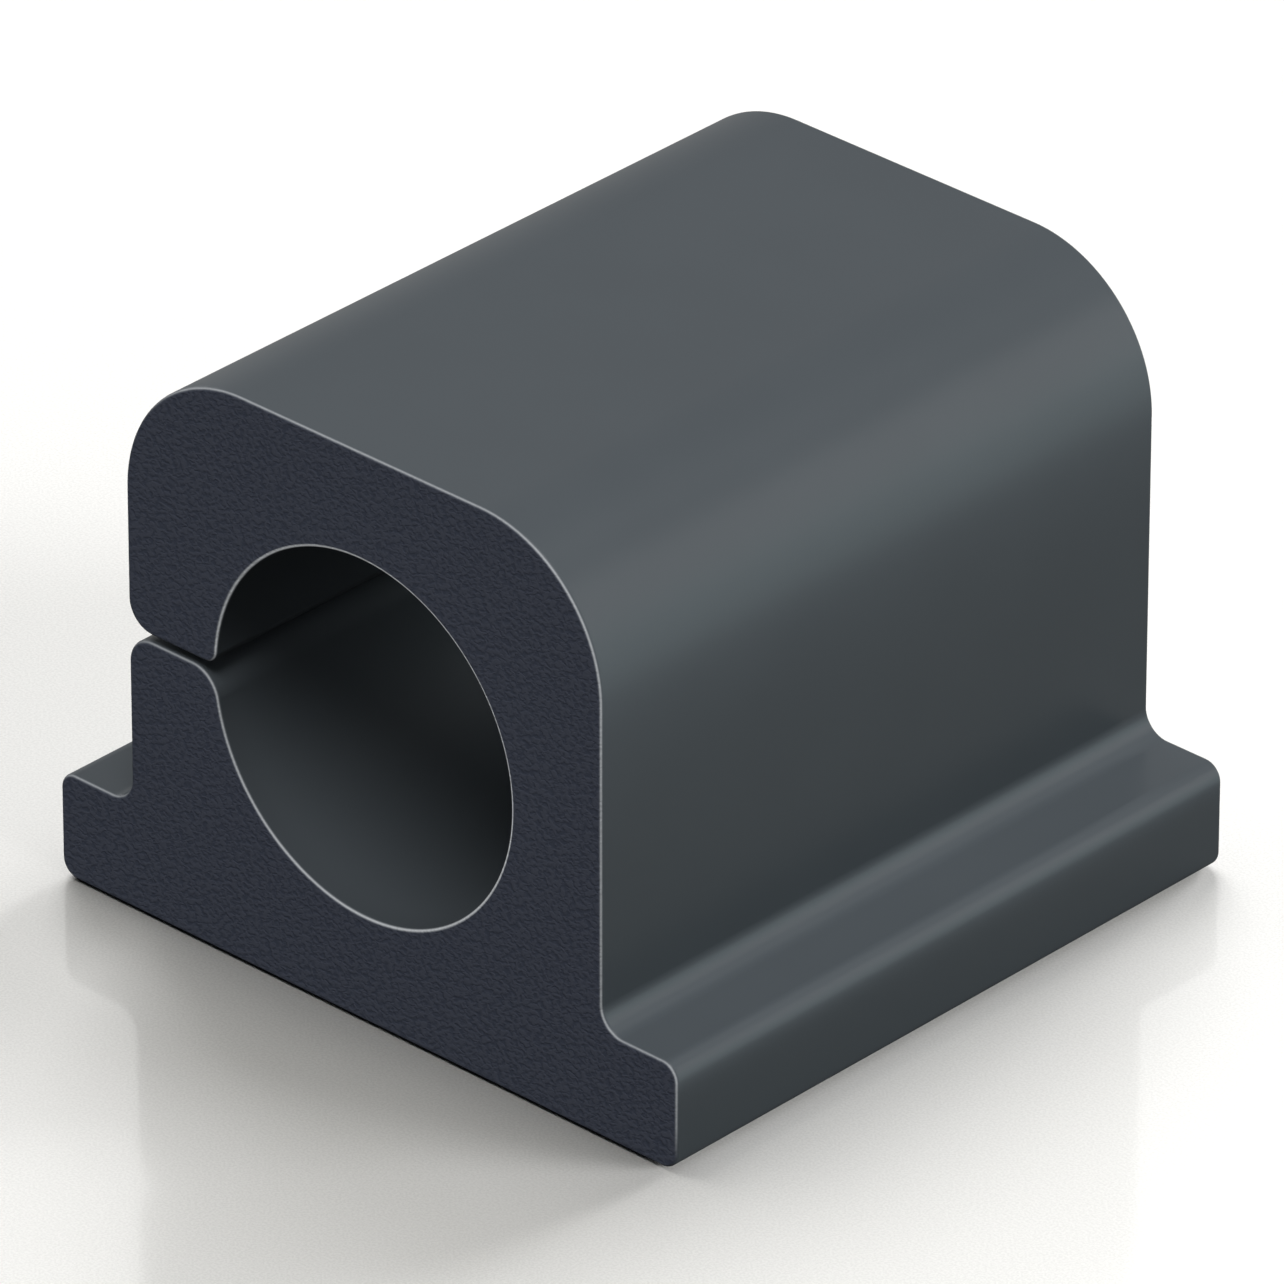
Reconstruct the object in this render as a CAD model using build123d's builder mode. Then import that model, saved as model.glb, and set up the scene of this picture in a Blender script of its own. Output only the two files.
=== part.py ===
# Adhesive cable clip: a soft one-piece clip whose bore opens to the side through a slit, on an adhesive pad.
# Millimetres. The origin is on the surface that the clip is stuck to, under the middle of the clip.
# +X runs across the clip, away from the slit, +Y runs along the cable, and +Z points away from the surface.
import os

from build123d import *

# Bore and the walls round it
bore_diameter = 10.0
side_wall = 3.0
roof_wall = 3.0
floor_wall = 3.0
clip_length = 20.0

# Foot, which stands out past the head on both sides
foot_thickness = 3.0
foot_overhang = 2.5

# Slit from the bore out through the wall on the -X side
slit_gap = 0.2

# Roundings of the profile
head_corner_radius = 4.0
lip_outer_radius = 0.8
lower_lip_inner_radius = 0.9
upper_lip_inner_radius = 0.4
foot_fillet_radius = 0.7
foot_corner_radius = 0.5
sole_corner_radius = 0.5

# Rounding of every edge of the two end faces
end_edge_radius = 0.1

# Adhesive pad, seated in a shallow recess in the sole
pad_thickness = 0.6
pad_standout = 0.05
pad_rim = 1.2
pad_clearance = 0.1
pad_corner_radius = 1.0

# Sizes and heights worked out from the values above
bore_radius = bore_diameter / 2
head_half = bore_radius + side_wall
foot_half = head_half + foot_overhang
sole_z = pad_standout
foot_top_z = sole_z + foot_thickness
bore_z = sole_z + floor_wall + bore_radius
head_top_z = bore_z + bore_radius + roof_wall
slit_floor_z = bore_z - slit_gap / 2
slit_ceiling_z = bore_z + slit_gap / 2
pad_width = 2 * (foot_half - pad_rim)
pad_length = clip_length - 2 * pad_rim
recess_depth = pad_thickness - pad_standout

os.makedirs("parts", exist_ok=True)

# Clip body: the outline runs from the slit's lower face down round the foot and over the head
# to the slit's upper face, as corners (x, z, radius)
outline_corners = [
    (-head_half, slit_floor_z, lip_outer_radius),
    (-head_half, foot_top_z, foot_fillet_radius),
    (-foot_half, foot_top_z, foot_corner_radius),
    (-foot_half, sole_z, sole_corner_radius),
    (foot_half, sole_z, sole_corner_radius),
    (foot_half, foot_top_z, foot_corner_radius),
    (head_half, foot_top_z, foot_fillet_radius),
    (head_half, head_top_z, head_corner_radius),
    (-head_half, head_top_z, head_corner_radius),
    (-head_half, slit_ceiling_z, lip_outer_radius),
]

with BuildPart() as clip_body:
    with BuildSketch(Plane.XZ) as profile:
        with BuildLine():
            outline = FilletPolyline(
                (0, slit_floor_z),
                *[(x, z) for x, z, radius in outline_corners],
                (0, slit_ceiling_z),
                radius=[radius for x, z, radius in outline_corners],
            )
            Line(outline @ 1, outline @ 0)
        make_face()
        with Locations((0, bore_z)):
            Circle(bore_radius, mode=Mode.SUBTRACT)
        # The slit's inner corners, where its faces meet the bore
        lower_corner = profile.vertices().sort_by_distance((-bore_radius, slit_floor_z))[0]
        fillet(lower_corner, lower_lip_inner_radius)
        upper_corner = profile.vertices().sort_by_distance((-bore_radius, slit_ceiling_z))[0]
        fillet(upper_corner, upper_lip_inner_radius)
    extrude(amount=clip_length / 2, both=True)
    fillet(clip_body.faces().filter_by(Axis.Y).edges(), end_edge_radius)
    # Recess for the pad
    with BuildSketch(Plane.XY.offset(sole_z)):
        RectangleRounded(
            pad_width + 2 * pad_clearance,
            pad_length + 2 * pad_clearance,
            pad_corner_radius + pad_clearance,
        )
    extrude(amount=recess_depth, mode=Mode.SUBTRACT)

clip_body.part.label = "clip_body"
export_step(clip_body.part, "parts/clip_body.step")

# Adhesive pad: double-sided tape with rounded corners, against the recess's ceiling
with BuildPart() as adhesive_pad:
    with BuildSketch(Plane.XY):
        RectangleRounded(pad_width, pad_length, pad_corner_radius)
    extrude(amount=pad_thickness)

adhesive_pad.part.label = "adhesive_pad"
export_step(adhesive_pad.part, "parts/adhesive_pad.step")
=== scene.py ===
import bpy
import numpy as np
from mathutils import Matrix, Vector
from mathutils.geometry import delaunay_2d_cdt


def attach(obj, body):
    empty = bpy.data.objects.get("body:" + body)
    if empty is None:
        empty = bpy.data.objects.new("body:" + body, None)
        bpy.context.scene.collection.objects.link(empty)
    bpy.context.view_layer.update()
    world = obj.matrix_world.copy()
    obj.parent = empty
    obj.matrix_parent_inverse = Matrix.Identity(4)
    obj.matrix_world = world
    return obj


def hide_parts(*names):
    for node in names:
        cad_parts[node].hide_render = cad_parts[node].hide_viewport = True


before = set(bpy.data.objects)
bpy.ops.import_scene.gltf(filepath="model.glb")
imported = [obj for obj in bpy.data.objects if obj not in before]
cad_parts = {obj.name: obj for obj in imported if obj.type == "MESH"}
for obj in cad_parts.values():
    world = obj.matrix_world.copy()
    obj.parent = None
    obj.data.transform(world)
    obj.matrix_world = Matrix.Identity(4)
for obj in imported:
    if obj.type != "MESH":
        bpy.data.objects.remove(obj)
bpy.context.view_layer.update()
mm = 0.001
hair = 1e-9    # mm, lengths below it count as none

# The photograph's camera: it looks at the middle of the bore from in front and to the right
photoView = {
    "azimuth": 43.0125,            # degrees
    "elevation": 29.5805,
    "roll": 0.0679,
    "distance": 371.256,           # mm, from the bore's centre
    "target": (0.0, 0.0, 8.05),
    "offset": (-0.006, 1.23105),   # mm, where the target stands right of and above the picture's middle
    "lens": 419.87,
    "sensor": 36.0,
    "clip": (0.02, 20.0),          # metres
}


def makeCamera(view):
    az, el, roll = np.radians([view["azimuth"], view["elevation"], view["roll"]])
    back = np.array([np.sin(az) * np.cos(el), -np.cos(az) * np.cos(el), np.sin(el)])
    right = np.array([np.cos(az), np.sin(az), 0.0])
    up = np.cross(back, right)
    right, up = right * np.cos(roll) + up * np.sin(roll), up * np.cos(roll) - right * np.sin(roll)
    across, above = view["offset"]
    place = np.array(view["target"]) + back * view["distance"] - right * across - up * above
    data = bpy.data.cameras.new("photoCamera")
    data.lens = view["lens"]
    data.sensor_width = view["sensor"]
    data.clip_start, data.clip_end = view["clip"]
    camera = bpy.data.objects.new("photoCamera", data)
    turn = Matrix(np.column_stack([right, up, back]).tolist()).to_4x4()
    camera.matrix_world = Matrix.Translation(place * mm) @ turn
    bpy.context.scene.collection.objects.link(camera)
    bpy.context.scene.camera = camera


makeCamera(photoView)
print("camera placed")


# A mesh from whole arrays: points, faces with a normal at every corner, and named values for every point
def meshObject(name, points, faces, normals, values, material):
    mesh = bpy.data.meshes.new(name)
    mesh.from_pydata(points, [], faces)
    mesh.polygons.foreach_set("use_smooth", np.ones(len(mesh.polygons), bool))
    for label, value in values.items():
        mesh.attributes.new(label, "FLOAT", "POINT").data.foreach_set("value", value.astype(np.float32))
    mesh.update()
    mesh.normals_split_custom_set(normals)
    mesh.materials.append(material)
    piece = bpy.data.objects.new(name, mesh)
    bpy.context.scene.collection.objects.link(piece)
    return piece


# The clip body, in mm, with the CAD's own sizes
clipBody = {
    "boreRadius": 5.0, "boreHeight": 8.05,
    "headHalf": 8.0, "headTop": 16.05, "headCorner": 4.0,
    "footHalf": 10.5, "footTop": 3.05, "footCorner": 0.5, "footFillet": 0.7,
    "sole": 0.05, "soleCorner": 0.5,
    "slitFloor": 7.95, "slitCeiling": 8.15,
    "lipOuter": 0.8, "lowerLipInner": 0.9, "upperLipInner": 0.4,
    "halfLength": 10.0, "endRounding": 0.1,
    "recess": (9.4, 8.9), "recessCorner": 1.1, "recessCeiling": 0.6,
    "shadeEase": 0.42,         # radians over which the shading runs on from a corner into the flat below it
    "soleTurn": (0.7, 6),      # reach and power with which the shading turns down round the sole's corners
    # The painted highlight along the rounded end edges, a lighter colour standing in for light caught there:
    "highlightPlace": 45,            # degrees round the rounded end edge to its light line, from the wall
    "highlightWidth": 15,            # degrees from the line's middle to where it has fallen to a third
    "highlightSpread": 0.8,          # how much wider it is for every degree that it lies nearer the end face
    "highlightFade": (0.35, 1.1),    # the line fades out between these heights
    "leadSteps": 14,
    "longestRun": 0.8,         # longest edge along the profile
    "endSteps": 8,             # faces over a rounded end edge
    "wallSteps": (8, 16),      # faces along the clip: beside the recess's corners, and between them
    "capField": (11, 17),      # half width and height of the lattice inside the end faces
    "capSpacing": 0.55,
    "capMargin": 0.55,         # how far the lattice stays inside the outline, as a share of its spacing
}


# The profile as arcs joined by straight runs, with the material on its left. At arc length s from its first
# end an arc's point is centre + radius * (cos a, sin a), where a = first + s / radius, and its outward normal
# is (cos a, sin a), or minus that where the rounding is hollow. A lead adds points on the straight run beyond
# one end. There the shading eases out as in the real moulding: the normal is still
# ease * ln(1 + exp(-d / ease)) away from the flat's at the distance d, in radii, past the arc's end. Round
# the sole's corners the downward part n of the normal becomes (n / reach) ** power, and 1 at most, so that
# they darken only close to the floor. The painted highlight along the end edges, a lighter colour standing
# in for light caught on the rounding, has a strength, and a place in degrees round the edge, which run evenly
# through the given values along the arc; its strengths are set higher where less light falls on the edge.
def clipProfile(clip):
    # An inner lip touches the slit's face and the bore. Its turn is its angle seen from the bore's middle.
    def innerLip(radius, height):
        rise = abs(height - clip["boreHeight"])
        x = -np.sqrt((clip["boreRadius"] + radius)**2 - rise**2)
        return x, np.degrees(np.arctan2(rise, -x))

    lowerLip, upperLip = clip["lowerLipInner"], clip["upperLipInner"]
    lowerLipZ, upperLipZ = clip["slitFloor"] - lowerLip, clip["slitCeiling"] + upperLip
    lowerLipX, lowerTurn = innerLip(lowerLip, lowerLipZ)
    upperLipX, upperTurn = innerLip(upperLip, upperLipZ)
    lip, fillet, foot = clip["lipOuter"], clip["footFillet"], clip["footCorner"]
    sole, head = clip["soleCorner"], clip["headCorner"]
    filletX, filletZ = clip["headHalf"] + fillet, clip["footTop"] + fillet
    footX, footZ = clip["footHalf"] - foot, clip["footTop"] - foot
    soleX, soleZ = clip["footHalf"] - sole, clip["sole"] + sole
    headX, headZ = clip["headHalf"] - head, clip["headTop"] - head
    lipX = lip - clip["headHalf"]
    # Centre x, centre z, radius, first angle, last angle, hollow, steps, lead in radii (below 0: before the
    # arc), the painted highlight's strengths and, where it isn't in its usual place, its places
    arcs = [
        (lowerLipX, lowerLipZ, lowerLip, lowerTurn, 90, False, 12, 0, (0.43, 0.25)),
        (lipX, clip["slitFloor"] - lip, lip, 90, 180, False, 12, 0, (0.25, 0.0)),
        (-filletX, filletZ, fillet, 0, -90, True, 12, 0, (0.0, 0.28)),
        (-footX, footZ, foot, 90, 180, False, 10, 1.4, (0.28, 0.0)),
        (-soleX, soleZ, sole, 180, 270, False, 10, 0, (0.0, 0.0)),
        (soleX, soleZ, sole, 270, 360, False, 10, 0, (0.0, 0.2)),
        (footX, footZ, foot, 0, 90, False, 10, -1.4, (0.40, 0.25)),
        (filletX, filletZ, fillet, 270, 180, True, 12, 0, (0.25, 0.40)),
        (headX, headZ, head, 0, 90, False, 40, -1.7, (0.46, 0.31)),
        (-headX, headZ, head, 90, 180, False, 40, 0.7, (0.31, 0.31, 0.0, 0.0)),
        (lipX, clip["slitCeiling"] + lip, lip, 180, 270, False, 12, 0, (0.0, 0.0)),
        (upperLipX, upperLipZ, upperLip, 270, 360 - upperTurn, False, 10, 0, (0.0, 0.6)),
        (0, clip["boreHeight"], clip["boreRadius"], 180 - upperTurn, lowerTurn - 180, True, 160, 0,
         (0.72, 1.0, 1.0, 1.0, 0.56, 0.44, 0.43), (45, 58, 70, 66, 52, 45, 45)),
    ]
    ease = clip["shadeEase"]
    spots, outwards, shadings, lines = [], [], [], []
    for x, z, radius, first, last, hollow, steps, lead, highlightStrengths, *places in arcs:
        turn, way = np.radians(abs(last - first)), np.sign(last - first)
        s = np.linspace(0, turn, steps + 1)
        beyond = np.linspace(0, abs(lead), clip["leadSteps"] + 1)[1:]
        if lead > 0:
            s = np.concatenate([s, turn + beyond])
        if lead < 0:
            s = np.concatenate([-beyond[::-1], s])
        onArc = np.clip(s, 0, turn)
        angle = np.radians(first) + way * onArc
        out = np.column_stack([np.cos(angle), np.sin(angle)])
        along = way * np.column_stack([-out[:, 1], out[:, 0]])
        spots.append(np.array([x, z]) + radius * (out + (s - onArc)[:, None] * along))
        flatEnd = last if lead > 0 else first
        toFlat = turn - s if lead > 0 else s
        eased = np.minimum(ease * np.log1p(np.exp(toFlat / ease)), turn)
        shadeAngle = np.radians(flatEnd) - np.sign(lead) * way * eased
        shade = np.column_stack([np.cos(shadeAngle), np.sin(shadeAngle)]) if lead else out
        outwards.append(-out if hollow else out)
        shadings.append(-shade if hollow else shade)
        # Strength and place of the painted edge highlight at each point
        lines.append(np.column_stack([
            np.interp(onArc / turn, np.linspace(0, 1, len(values)), values)
            for values in (highlightStrengths, places[0] if places else (clip["highlightPlace"],))
        ]))
    spots, shadings = np.vstack(spots), np.vstack(shadings)
    under = spots[:, 1] < soleZ - hair
    reach, power = clip["soleTurn"]
    down = -np.minimum(1, (np.abs(shadings[under, 1]) / reach)**power)
    shadings[under] = np.column_stack([np.sign(shadings[under, 0]) * np.sqrt(1 - down**2), down])
    return spots, np.vstack(outwards), shadings, np.vstack(lines)


# Adds points to the profile's long straight runs, so that no face is much longer than the given length
def divideRuns(points, outward, shading, line, longest):
    ahead = np.roll(points, -1, 0)
    length = np.linalg.norm(ahead - points, axis=1)
    pieces = np.maximum(1, np.ceil(length / longest - hair)).astype(int)
    index = np.repeat(np.arange(len(points)), pieces)
    share = (np.arange(len(index)) - np.repeat(np.cumsum(pieces) - pieces, pieces)) / pieces[index]
    share = share[:, None]
    lineBetween = line[index] * (1 - share) + np.roll(line, -1, 0)[index] * share
    between = points[index] * (1 - share) + ahead[index] * share
    return between, outward[index], shading[index], lineBetween


# Rows along the clip: their y, how far they are drawn in, and the tilt of their normals towards the rear.
# Each end turns through a quarter circle: at angle q the profile is drawn in by rounding * (1 - cos q) and
# lies rounding * (1 - sin q) inside the end face. The tilt is sin q.
def clipRows(clip):
    rounding = clip["endRounding"]
    wallEnd = clip["halfLength"] - rounding
    recessEnd = clip["recess"][1] - clip["recessCorner"]
    outerSteps, innerSteps = clip["wallSteps"]
    walls = np.concatenate([
        np.linspace(-wallEnd, -recessEnd, outerSteps + 1),
        np.linspace(-recessEnd, recessEnd, innerSteps + 1)[1:],
        np.linspace(recessEnd, wallEnd, outerSteps + 1)[1:],
    ])[1:-1]
    level = np.zeros(len(walls))
    q = np.radians(np.linspace(90, 0, clip["endSteps"] + 1))
    y, inset, tilt = clip["halfLength"] - rounding * (1 - np.sin(q)), rounding * (1 - np.cos(q)), np.sin(q)
    return (
        np.concatenate([-y, walls, y[::-1]]),
        np.concatenate([inset, level, inset[::-1]]),
        np.concatenate([-tilt, level, tilt[::-1]]),
    )


# Painted highlight round the end edges, at every row and point: a lighter colour where the rounding catches
# the light, which falls off as a bell on both sides of its place, and fades out towards the floor
def paintRimHighlight(clip, line, tilt, height):
    strength, place = line.T
    width = clip["highlightWidth"] + clip["highlightSpread"] * (place - clip["highlightPlace"])
    away = (np.degrees(np.arcsin(tilt))[:, None] - place) / width
    onEdge = ((tilt > 0) & (tilt < 1))[:, None]
    low, high = clip["highlightFade"]
    rise = np.clip((height - low) / (high - low), 0, 1)
    return strength * np.exp(-away**2) * onEdge * rise * rise * (3 - 2 * rise)


# Where a point lies inside the end face: inside the head or the foot, and outside the bore and the slit
def insideProfile(x, z, clip, margin):
    def inBlock(halfWidth, top, corner):
        dx = np.maximum(np.abs(x) - halfWidth + corner, 0)
        dz = np.maximum(np.maximum(clip["sole"] + corner - z, z - top + corner), 0)
        return np.hypot(dx, dz) < corner - margin

    head = inBlock(clip["headHalf"], clip["headTop"], clip["headCorner"])
    foot = inBlock(clip["footHalf"], clip["footTop"], clip["footCorner"])
    neck = (
        (np.abs(x) < clip["headHalf"] - margin)
        & (z > clip["sole"] + margin) & (z < clip["headTop"] - clip["headCorner"])
    )
    bore = np.hypot(x, z - clip["boreHeight"]) < clip["boreRadius"] + margin
    slit = (x < 0) & (z > clip["slitFloor"] - margin) & (z < clip["slitCeiling"] + margin)
    return (head | foot | neck) & ~bore & ~slit


# Even triangles inside an end face's outline, over a staggered lattice: the points that it adds, and the
# triangles, which count the outline's points first
def fillOutline(clip, outline):
    spacing = clip["capSpacing"]
    halfWidth, height = clip["capField"]
    x, z = np.meshgrid(
        np.arange(-halfWidth, halfWidth, spacing), np.arange(0, height, spacing * np.sqrt(0.75)))
    x = (x + (np.arange(len(x)) % 2)[:, None] * spacing / 2).ravel()
    z = z.ravel()
    chosen = insideProfile(x, z, clip, spacing * clip["capMargin"])
    inner = np.column_stack([x[chosen], z[chosen]])
    spots = [Vector(p) for p in np.vstack([outline, inner]).tolist()]
    merge = 1e-7    # mm between points that are one
    corners, _, triangles, origins, *_ = delaunay_2d_cdt(spots, [], [list(range(len(outline)))], 1, merge)
    corners, triangles = np.array([p[:] for p in corners]), np.array(triangles)
    a, b, c = (corners[triangles[:, k]] for k in range(3))
    turn = (b[:, 0] - a[:, 0]) * (c[:, 1] - a[:, 1]) - (b[:, 1] - a[:, 1]) * (c[:, 0] - a[:, 0])
    triangles = np.where((turn > 0)[:, None], triangles, triangles[:, ::-1])
    return inner, np.array([o[0] for o in origins])[triangles]


def makeClipBody(clip, material):
    path, outward, shading, line = divideRuns(*clipProfile(clip), clip["longestRun"])
    y, inset, tilt = clipRows(clip)
    rows, count = len(y), len(path)
    spot = path[None] - inset[:, None, None] * outward[None]
    points = np.empty((rows, count, 3))
    points[..., 0], points[..., 1], points[..., 2] = spot[..., 0], y[:, None], spot[..., 1]
    normals = np.empty((rows, count, 3))
    across = np.sqrt(1 - tilt**2)[:, None]
    normals[..., 0], normals[..., 2] = shading[:, 0] * across, shading[:, 1] * across
    normals[..., 1] = tilt[:, None]
    # Painted highlight along the rounded end edges, as a value at every point
    paintedRimHighlight = paintRimHighlight(clip, line, np.abs(tilt), points[..., 2])

    # Walls: one quad between neighbouring rows and points, without the flat of the sole
    grid = np.arange(rows * count).reshape(rows, count)
    ahead = np.roll(grid, -1, 1)
    quads = np.stack([grid[:-1], grid[1:], ahead[1:], ahead[:-1]], -1)
    front, rear = clip["endSteps"], rows - 1 - clip["endSteps"]
    flat = np.abs(path[:, 1] - clip["sole"]) < hair
    isSole = np.zeros((rows - 1, count), bool)
    isSole[front:rear] = flat & np.roll(flat, -1)
    quads = quads[~isSole]
    points, normals = points.reshape(-1, 3), normals.reshape(-1, 3)
    pointList, faceList, normalList = [points], [quads], [normals[quads]]

    # Sole: rings between the rectangle that the walls leave open and the recess for the pad. The inner point
    # is the outer one drawn to the recess's core rectangle, and then out by the corner radius along the same
    # line.
    firstFlat, lastFlat = np.flatnonzero(flat)[[0, -1]]
    loop = np.concatenate([
        grid[front, firstFlat:lastFlat],
        grid[front:rear, lastFlat],
        grid[rear, firstFlat + 1:lastFlat + 1][::-1],
        grid[front + 1:rear + 1, firstFlat][::-1],
    ])
    outer = points[loop, :2]
    core = np.array(clip["recess"]) - clip["recessCorner"]
    held = np.clip(outer, -core, core)
    away = (outer - held) / np.linalg.norm(outer - held, axis=1)[:, None]
    edge = held + clip["recessCorner"] * away
    sole, ceiling = clip["sole"], clip["recessCeiling"]
    rings = [((outer + edge) / 2, sole), (edge, sole), (edge, ceiling), (held, ceiling)]
    size = len(loop)
    pointList += [np.column_stack([spots, np.full(size, height)]) for spots, height in rings]
    loops = [loop] + [rows * count + k * size + np.arange(size) for k in range(len(rings))]
    inward = np.column_stack([-away, np.zeros(size)])
    inwardAhead = np.roll(inward, -1, 0)
    down = np.array([0.0, 0.0, -1.0])
    downStrip = np.tile(down, (size, 4, 1))
    wallStrip = np.stack([inward, inward, inwardAhead, inwardAhead], 1)
    for a, b, strip in zip(loops[:-1], loops[1:], (downStrip, downStrip, wallStrip, downStrip)):
        faceList.append(np.column_stack([a, b, np.roll(b, -1), np.roll(a, -1)]))
        normalList.append(strip)

    # Ceiling of the recess, inside its core rectangle
    faces = np.vstack(faceList).tolist()
    cornerNormals = [np.vstack(normalList).reshape(-1, 3)]
    middle = loops[-1][np.linalg.norm(np.roll(held, 1, 0) - held, axis=1) > hair]
    faces.append(middle.tolist())
    cornerNormals.append(np.tile(down, (len(middle), 1)))

    # End faces: the rounding's last row, filled
    inner, triangles = fillOutline(clip, spot[0])
    extra = len(inner)
    total = rows * count + len(rings) * size
    for end, base, direction in ((0, total, -1.0), (rows - 1, total + extra, 1.0)):
        depth = np.full(extra, direction * clip["halfLength"])
        pointList.append(np.column_stack([inner[:, 0], depth, inner[:, 1]]))
        cap = np.concatenate([grid[end], base + np.arange(extra)])[triangles]
        if direction > 0:
            cap = cap[:, ::-1]
        faces += cap.tolist()
        cornerNormals.append(np.tile([0.0, direction, 0.0], (cap.size, 1)))

    allPoints = np.vstack(pointList)
    # Values for the material: the painted highlight along the end edges, and the share of end face
    rimHighlightValue, endValue = np.zeros(len(allPoints)), np.zeros(len(allPoints))
    rimHighlightValue[:rows * count] = paintedRimHighlight.ravel()
    endValue[:rows * count] = np.repeat(tilt**2, count)
    endValue[total:] = 1
    values = {"paintedRimHighlight": rimHighlightValue, "endFace": endValue}
    return meshObject("clipBody", allPoints * mm, faces, np.vstack(cornerNormals), values, material)


# Shader helpers
def newMaterial(name):
    material = bpy.data.materials.new(name)
    material.use_nodes = True
    tree = material.node_tree
    tree.nodes.clear()
    output = tree.nodes.new("ShaderNodeOutputMaterial")
    shader = tree.nodes.new("ShaderNodeBsdfPrincipled")
    tree.links.new(shader.outputs["BSDF"], output.inputs["Surface"])
    return material, tree, shader


# A node with its settings. An input is given a value, or the output socket that feeds it.
def addNode(tree, kind, inputs=(), **settings):
    node = tree.nodes.new(kind)
    for key, value in settings.items():
        setattr(node, key, value)
    for key, value in dict(inputs).items():
        if isinstance(value, bpy.types.NodeSocket):
            tree.links.new(value, node.inputs[key])
        else:
            node.inputs[key].default_value = value
    return node


colourInputs = {"factor": 0, "a": 6, "b": 7, "out": 2}   # sockets of a Mix node that is set to colour


def mixColours(tree, factor, first, second, blend="MIX"):
    c = colourInputs
    inputs = {c["factor"]: factor, c["a"]: first, c["b"]: second}
    return addNode(tree, "ShaderNodeMix", inputs, data_type="RGBA", blend_type=blend).outputs[c["out"]]


def mathNode(tree, operation, *values):
    return addNode(tree, "ShaderNodeMath", dict(enumerate(values)), operation=operation).outputs[0]


def newGroup(name, inputs, outputs):
    group = bpy.data.node_groups.new(name, "ShaderNodeTree")
    for label, kind, value in inputs:
        socket = group.interface.new_socket(label, in_out="INPUT", socket_type=kind)
        socket.default_value = value
    for label, kind in outputs:
        group.interface.new_socket(label, in_out="OUTPUT", socket_type=kind)
    return group, group.nodes.new("NodeGroupInput"), group.nodes.new("NodeGroupOutput")


# Speckle: noise over the object's own coordinates, with a number of spots per metre along each axis, bent by
# its waver, and spread from 0 to 1 between a low and a high noise value
def makeSpeckle():
    group, given, result = newGroup("speckle", [
        ("Spots", "NodeSocketVector", (1000, 1000, 1000)), ("Turn", "NodeSocketVector", (0, 0, 0)),
        ("Low", "NodeSocketFloat", 0.35), ("High", "NodeSocketFloat", 0.65),
        ("Detail", "NodeSocketFloat", 2.0), ("Waver", "NodeSocketFloat", 0.0),
    ], [("Value", "NodeSocketFloat")])
    place = addNode(group, "ShaderNodeTexCoord").outputs["Object"]
    turned = addNode(group, "ShaderNodeMapping", {"Vector": place, "Rotation": given.outputs["Turn"]})
    scaled = addNode(group, "ShaderNodeVectorMath", {
        0: turned.outputs[0], 1: given.outputs["Spots"],
    }, operation="MULTIPLY")
    noise = addNode(group, "ShaderNodeTexNoise", {
        "Vector": scaled.outputs[0], "Scale": 1.0,
        "Detail": given.outputs["Detail"], "Distortion": given.outputs["Waver"],
    })
    spread = addNode(group, "ShaderNodeMapRange", {
        "Value": noise.outputs[0], "From Min": given.outputs["Low"], "From Max": given.outputs["High"],
    }, interpolation_type="SMOOTHSTEP")
    group.links.new(spread.outputs["Result"], result.inputs["Value"])
    return group


speckleGroup = makeSpeckle()


def speckle(tree, spots, spread, turn=(0, 0, 0), detail=2.0, waver=0.0):
    values = {
        "Spots": spots, "Low": spread[0], "High": spread[1], "Turn": turn, "Detail": detail, "Waver": waver,
    }
    return addNode(tree, "ShaderNodeGroup", values, node_tree=speckleGroup).outputs["Value"]


# Graphite rubber: a smooth satin skin, matt end faces with a fine wrinkled grain, painted darker in the
# wrinkles and lighter on the ridges as shade and highlight, and a painted highlight where the end edges are
# rounded. Spots are per metre, and a spread gives the noise values that become 0 and 1.
rubber = {
    "skin": (0.0535, 0.0617, 0.0688, 1),
    "cloudSpots": (260, 260, 260),        # drift of the skin's tone
    "cloudSpread": (0.3, 0.7),
    "skinCloud": (0.985, 1.015),          # and how far it goes
    "fineSpots": (5200, 5200, 5200),      # faintest grain of the skin, in its roughness and height
    "fineSpread": (0.3, 0.7),
    "skinRoughness": (0.38, 0.44),
    "skinDepth": 0.001,                   # mm
    "end": (0.0503, 0.0565, 0.0762, 1),
    # Painted shade in the wrinkles and painted highlight on the ridges of the end faces' grain:
    "wrinkleShade": (0.81, 0.83, 0.86, 1),     # tone of the dark wrinkles, as a share of the end's colour
    "ridgeHighlight": (1.07, 1.06, 1.04, 1),       # and of the ridges between them
    "wrinkleSpots": (6200, 6200, 8400),
    "wrinkleSpread": (0.30, 0.64),
    "wrinkleTurn": (0, np.radians(20), 0),
    "wrinkleDetail": 1.0,
    "wrinkleWaver": 0.5,
    "grainDepth": 0.014,                  # mm
    "endRoughness": 0.8,
    # Colour of the painted highlight along the rounded end edges
    "paintedRimHighlight": (0.86, 0.89, 0.91, 1),
    "coat": (0.22, 0.02),                 # weight of the sheen on the skin and on the end faces
    "coatRoughness": 0.3,
}


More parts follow.
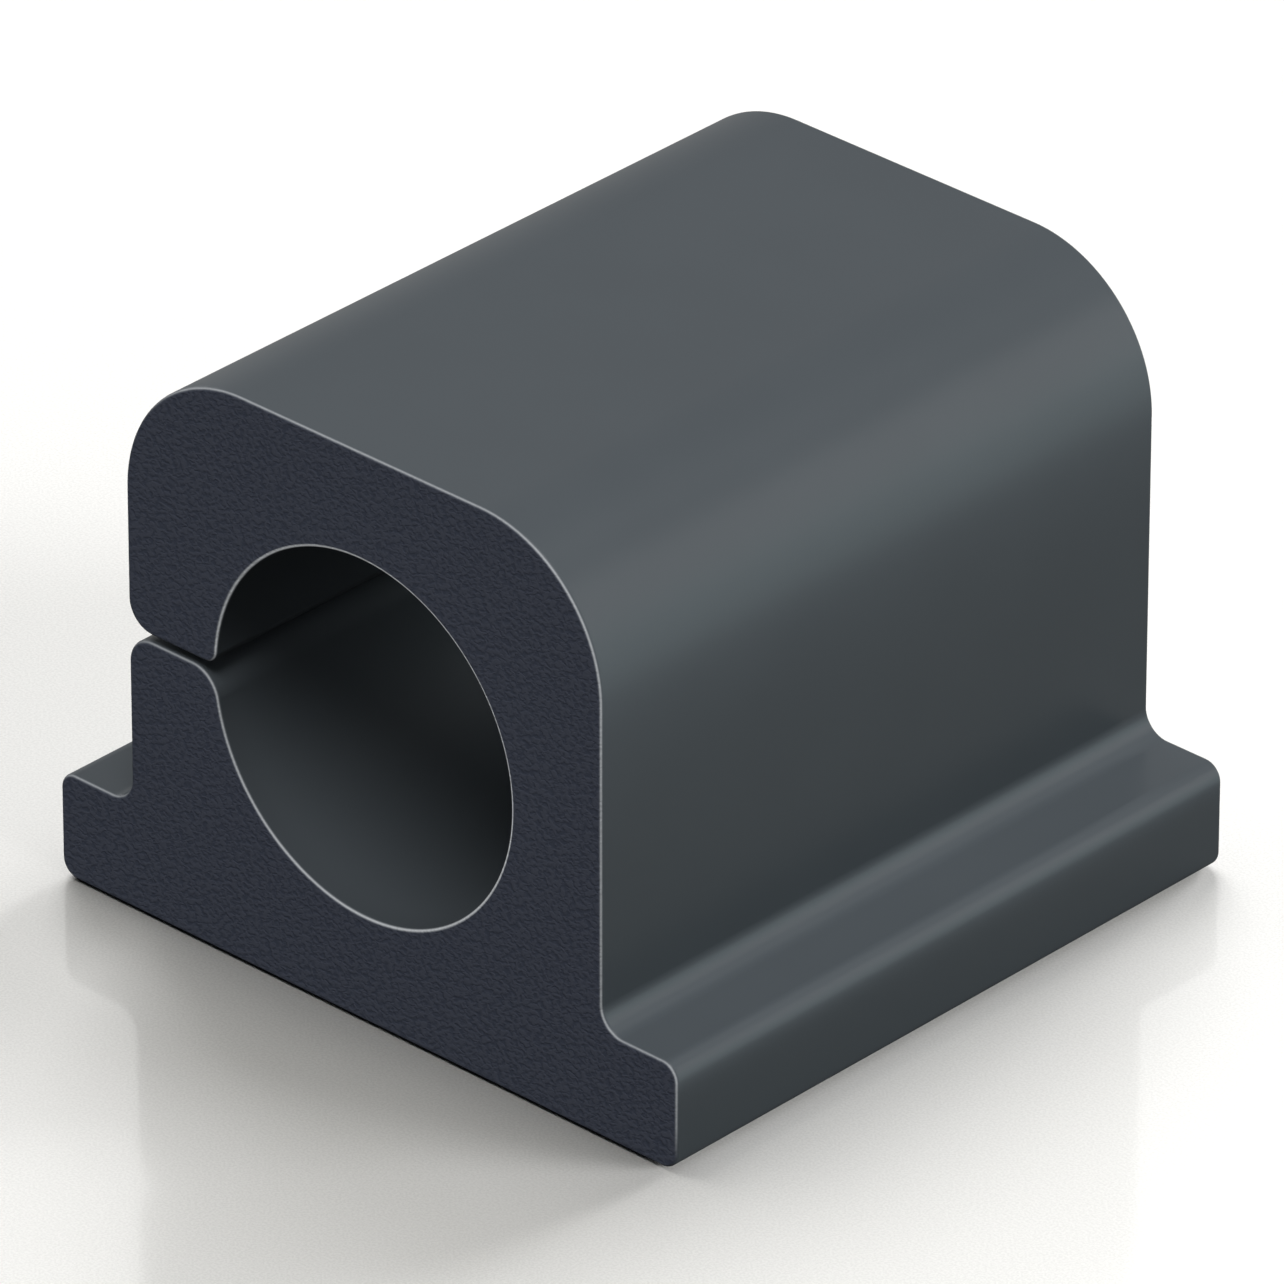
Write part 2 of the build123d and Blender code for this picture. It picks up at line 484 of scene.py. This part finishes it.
def graphiteRubber(finish):
    material, tree, shader = newMaterial("graphiteRubber")
    paintedRimHighlight = addNode(tree, "ShaderNodeAttribute", attribute_name="paintedRimHighlight").outputs["Fac"]
    end = addNode(tree, "ShaderNodeAttribute", attribute_name="endFace").outputs["Fac"]

    # Wrinkled grain of the end faces: 0 in the wrinkles, 1 on the ridges. Its colour is painted shade in the
    # wrinkles and a painted highlight on the ridges, beside the bump
    grain = speckle(
        tree, finish["wrinkleSpots"], finish["wrinkleSpread"], finish["wrinkleTurn"],
        finish["wrinkleDetail"], finish["wrinkleWaver"],
    )
    grainShadeAndHighlight = mixColours(tree, grain, finish["wrinkleShade"], finish["ridgeHighlight"])

    # Colour: skin or end face, the drift of the skin's tone, the painted shade and highlight of the wrinkles,
    # and the painted highlight along the rounded end edges
    cloud = speckle(tree, finish["cloudSpots"], finish["cloudSpread"])
    tone = addNode(tree, "ShaderNodeMapRange", {
        "Value": cloud, "To Min": finish["skinCloud"][0], "To Max": finish["skinCloud"][1],
    }).outputs["Result"]
    skin = addNode(tree, "ShaderNodeVectorMath", {
        0: finish["skin"][:3], "Scale": tone,
    }, operation="SCALE").outputs[0]
    surface = mixColours(tree, end, skin, mixColours(tree, 1.0, finish["end"], grainShadeAndHighlight, "MULTIPLY"))
    tree.links.new(mixColours(tree, paintedRimHighlight, surface, finish["paintedRimHighlight"]), shader.inputs["Base Color"])

    # Roughness: the skin's drifts a little, the end faces are matt
    fine = speckle(tree, finish["fineSpots"], finish["fineSpread"])
    skinRoughness = addNode(tree, "ShaderNodeMapRange", {
        "Value": fine, "To Min": finish["skinRoughness"][0], "To Max": finish["skinRoughness"][1],
    }).outputs["Result"]
    roughness = addNode(tree, "ShaderNodeMix", {0: end, 2: skinRoughness, 3: finish["endRoughness"]})
    tree.links.new(roughness.outputs[0], shader.inputs["Roughness"])

    # Height: the wrinkles of the end faces, and the skin's faintest grain
    skinGrain = mathNode(tree, "MULTIPLY", fine, finish["skinDepth"])
    endGrain = mathNode(tree, "MULTIPLY", grain, finish["grainDepth"])
    height = addNode(tree, "ShaderNodeMix", {0: end, 2: skinGrain, 3: endGrain}).outputs[0]
    bump = addNode(tree, "ShaderNodeBump", {"Height": height, "Strength": 1.0, "Distance": mm})
    tree.links.new(bump.outputs["Normal"], shader.inputs["Normal"])

    # Sheen: all of it is a thin coat, less on the end faces
    sheen = addNode(tree, "ShaderNodeMix", {0: end, 2: finish["coat"][0], 3: finish["coat"][1]})
    tree.links.new(sheen.outputs[0], shader.inputs["Coat Weight"])
    shader.inputs["Coat Roughness"].default_value = finish["coatRoughness"]
    shader.inputs["Specular IOR Level"].default_value = 0
    return material


body = makeClipBody(clipBody, graphiteRubber(rubber))
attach(body, "root")
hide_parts("clip_body")
print("clip body made,", len(body.data.polygons), "faces")


# Adhesive pad: grey acrylic foam tape with fine pores and a slightly shiny tacky face
foam = {
    "colour": (0.30, 0.30, 0.31, 1),
    "pore": (0.17, 0.17, 0.18, 1),
    "poreSpots": (5200, 5200, 5200),
    "poreSpread": (0.56, 0.68),
    "poreDepth": 0.05,       # mm
    "poreStrength": 0.7,
    "cloud": (0.35, 0.35, 0.355, 1),
    "cloudSpots": (420, 420, 420),
    "cloudSpread": (0.35, 0.65),
    "roughness": (0.55, 0.75),
}


def foamTape(finish):
    material, tree, shader = newMaterial("foamTape")
    pores = speckle(tree, finish["poreSpots"], finish["poreSpread"])
    cloud = speckle(tree, finish["cloudSpots"], finish["cloudSpread"])
    ground = mixColours(tree, cloud, finish["colour"], finish["cloud"])
    tree.links.new(mixColours(tree, pores, ground, finish["pore"]), shader.inputs["Base Color"])
    roughness = addNode(tree, "ShaderNodeMapRange", {
        "Value": pores, "To Min": finish["roughness"][0], "To Max": finish["roughness"][1],
    })
    tree.links.new(roughness.outputs["Result"], shader.inputs["Roughness"])
    sunk = mathNode(tree, "MULTIPLY", pores, -1.0)
    bump = addNode(tree, "ShaderNodeBump", {
        "Height": sunk, "Strength": finish["poreStrength"], "Distance": finish["poreDepth"] * mm,
    })
    tree.links.new(bump.outputs["Normal"], shader.inputs["Normal"])
    return material


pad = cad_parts["adhesive_pad"]
pad.data.materials.clear()
pad.data.materials.append(foamTape(foam))
print("adhesive pad finished")


# Floor: a plain pale board with a soft gloss, in which the clip mirrors faintly. Only the camera sees the
# gloss, so that the low lamps throw no glint from the floor onto the clip, and the floor throws back less
# light on the clip than it shows.
board = {
    "half": 4.0,                           # metres
    "colour": (0.925, 0.92, 0.905, 1),
    "grain": (0.90, 0.90, 0.90, 1),        # tone of the darker grains, as a share of the colour
    "grainSpots": (15000, 15000, 15000),
    "grainSpread": (0.3, 0.7),
    "thrownBack": 0.05,                    # share of the colour in the light thrown back on the clip
    "roughness": 0.08,
    "specular": 0.5,
}


def makeFloor(finish):
    r = finish["half"]
    mesh = bpy.data.meshes.new("floor")
    mesh.from_pydata([(-r, -r, 0), (r, -r, 0), (r, r, 0), (-r, r, 0)], [], [(0, 1, 2, 3)])
    material, tree, shader = newMaterial("paleBoard")
    path = addNode(tree, "ShaderNodeLightPath")
    thrown = tuple(finish["thrownBack"] * c for c in finish["colour"][:3]) + (1,)
    grains = speckle(tree, finish["grainSpots"], finish["grainSpread"])
    grained = mixColours(
        tree, 1.0, finish["colour"], mixColours(tree, grains, (1, 1, 1, 1), finish["grain"]), "MULTIPLY")
    shown = mixColours(tree, path.outputs["Is Diffuse Ray"], grained, thrown)
    tree.links.new(shown, shader.inputs["Base Color"])
    shader.inputs["Roughness"].default_value = finish["roughness"]
    gloss = mathNode(tree, "MULTIPLY", path.outputs["Is Camera Ray"], finish["specular"])
    tree.links.new(gloss, shader.inputs["Specular IOR Level"])
    mesh.materials.append(material)
    floor = bpy.data.objects.new("floor", mesh)
    bpy.context.scene.collection.objects.link(floor)
    return floor


floor = makeFloor(board)

# Soft lamps, all far away: azimuth from +X towards +Y and elevation up from the floor, in degrees, then the
# share of its colour that a surface facing the lamp gives back, what it lights, and its colour if it isn't
# white. Each lamp lights the clip or the floor alone, so that the shadows on the floor can be set apart from
# the shading of the clip. The side wall's light is a little cool and the clip's shadow a little warm.
lampAngle = 30    # degrees across, as seen from the clip
warm = (1, 0.99, 0.95)
lamps = {
    "clipFront": (300, 68, 0.77, "clip"),
    "clipBackHigh": (60, 68, 0.36, "clip"),
    "clipBackRight": (60, 25, 0.36, "clip"),
    "clipRightLow": (45, 8, 0.25, "clip", (0.80, 1, 1)),
    "clipFrontLow": (285, 10, 0.38, "clip"),
    "clipBackLeft": (160, 15, 0.27, "clip"),
    "floorRightLow": (30, 8, 1.394, "floor"),
    "floorBackLow": (90, 8, 2.081, "floor"),
    "floorRight": (0, 27, 0.215, "floor", warm),
    "floorBackLeft": (135, 48, 0.403, "floor"),
    "floorLeftHigh": (180, 68, 0.346, "floor", warm),
}


def makeLamps(settings, receivers):
    for name, (azimuth, elevation, strength, target, *colour) in settings.items():
        a, e = np.radians([azimuth, elevation])
        towards = Vector((np.cos(a) * np.cos(e), np.sin(a) * np.cos(e), np.sin(e)))
        data = bpy.data.lights.new(name, "SUN")
        data.energy = np.pi * strength
        data.color = colour[0] if colour else (1, 1, 1)
        data.angle = np.radians(lampAngle)
        lamp = bpy.data.objects.new(name, data)
        lamp.matrix_world = towards.to_track_quat("Z", "Y").to_matrix().to_4x4()
        bpy.context.scene.collection.objects.link(lamp)
        lamp.light_linking.receiver_collection = receivers[target]


receivers = {name: bpy.data.collections.new(name + "Light") for name in ("clip", "floor")}
for piece in (body, pad):
    receivers["clip"].objects.link(piece)
receivers["floor"].objects.link(floor)
makeLamps(lamps, receivers)


# World: white where it is seen, directly or in gloss or glass, and no light of its own otherwise
def makeWorld():
    world = bpy.data.worlds.new("studio")
    world.use_nodes = True
    tree = world.node_tree
    tree.nodes.clear()
    path = addNode(tree, "ShaderNodeLightPath")
    seen = mathNode(tree, "MAXIMUM", path.outputs["Is Camera Ray"], path.outputs["Is Glossy Ray"])
    seen = mathNode(tree, "MAXIMUM", seen, path.outputs["Is Transmission Ray"])
    white = addNode(tree, "ShaderNodeBackground", {"Color": (1, 1, 1, 1), "Strength": seen})
    output = addNode(tree, "ShaderNodeOutputWorld", {"Surface": white.outputs[0]})
    bpy.context.scene.world = world


makeWorld()
bpy.context.scene.view_settings.view_transform = "Standard"
print("floor, lamps and world made")
